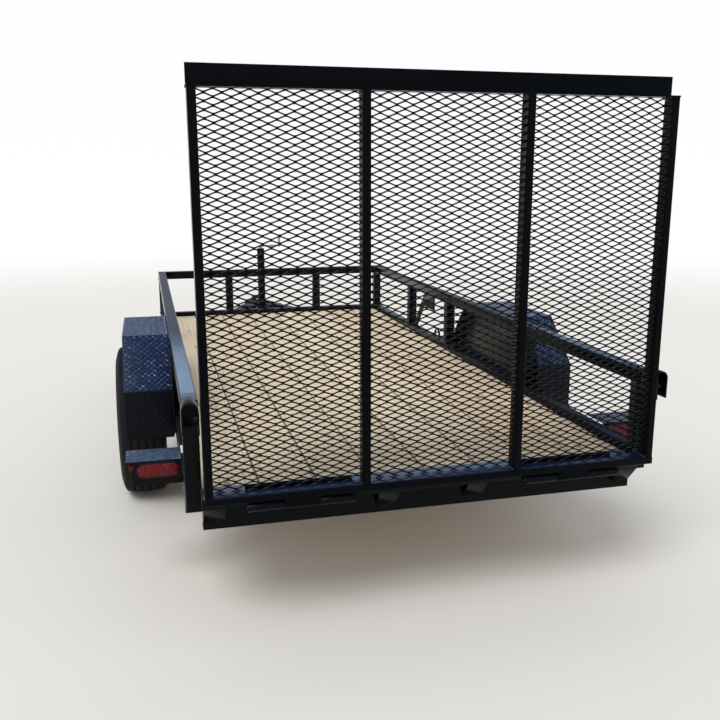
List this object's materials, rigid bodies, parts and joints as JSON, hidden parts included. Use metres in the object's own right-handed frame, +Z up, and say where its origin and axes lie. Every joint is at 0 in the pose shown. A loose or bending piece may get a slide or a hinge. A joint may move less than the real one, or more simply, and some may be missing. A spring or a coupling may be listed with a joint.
{
  "type": "utility trailer",
  "caption": "Single-axle utility trailer with a wooden deck, tube rails, tread-plate fenders, a mesh ramp gate and an A-frame tongue on its jack.",
  "frame": {"origin": "on the ground, midway between the gate's rear face and the coupler's nose, in the trailer's middle plane", "axes": "+Y in the direction of travel, +X to the right side, +Z up"},
  "size_m": [2.104, 4.655, 1.755],
  "materials": {
    "black_paint": "gloss black enamel",
    "tread_plate": "gloss black tread plate",
    "pine": "treated pine",
    "tyre": "black rubber",
    "silver_paint": "silver paint",
    "bare_steel": "bare steel",
    "zinc": "zinc plated",
    "red_lens": "red lamp lens"
  },
  "bodies": {
    "chassis": {"axle": "black_paint", "axle_clamps": "bare_steel", "coupler": "black_paint", "coupler_latch": "zinc", "cross_angles": "black_paint", "deck_boards": "pine", "fender_left": "tread_plate", "fender_right": "tread_plate", "fender_skirt_left": "black_paint", "fender_skirt_right": "black_paint", "front_header": "black_paint", "front_posts": "black_paint", "front_rail": "black_paint", "gate_latches": "black_paint", "gate_stops": "black_paint", "hinge_pins": "bare_steel", "jack_crank": "zinc", "jack_plate": "black_paint", "jack_tube": "black_paint", "lamp_box_left": "tread_plate", "lamp_box_right": "tread_plate", "leaf_spring_left": "black_paint", "leaf_spring_right": "black_paint", "ledge_gussets": "black_paint", "rear_beam": "black_paint", "rear_ledge": "black_paint", "rear_post_left": "black_paint", "rear_post_right": "black_paint", "side_markers": "red_lens", "side_posts_left": "black_paint", "side_posts_right": "black_paint", "side_rail_left": "black_paint", "side_rail_right": "black_paint", "spare_bracket": "black_paint", "spring_hangers": "black_paint", "tail_lamp_left": "red_lens", "tail_lamp_right": "red_lens", "tie_downs": "black_paint", "tongue_bar_left": "black_paint", "tongue_bar_right": "black_paint", "top_rail_left": "black_paint", "top_rail_right": "black_paint"},
    "gate": {"gate_frame": "black_paint", "gate_mesh": "black_paint"},
    "wheel_left": {"tyre_left": "tyre", "rim_left": "silver_paint", "hub_left": "bare_steel"},
    "wheel_right": {"tyre_right": "tyre", "rim_right": "silver_paint", "hub_right": "bare_steel"},
    "jack_leg": {"jack_leg": "zinc"}
  },
  "joints": [
    {"name": "gate_hinge", "type": "hinge", "parent": "chassis", "child": "gate", "pos_m": [0, -2.314, 0.4595], "axis": [1, 0, 0], "range_deg": [0, 110]},
    {"name": "left_wheel_spin", "type": "hinge", "parent": "chassis", "child": "wheel_left", "pos_m": [-0.9495, -0.8225, 0.34], "axis": [1, 0, 0], "continuous": true},
    {"name": "right_wheel_spin", "type": "hinge", "parent": "chassis", "child": "wheel_right", "pos_m": [0.9495, -0.8225, 0.34], "axis": [1, 0, 0], "continuous": true},
    {"name": "jack_slide", "type": "slide", "parent": "chassis", "child": "jack_leg", "axis": [0, 0, 1], "range_m": [0, 0.31]}
  ]
}
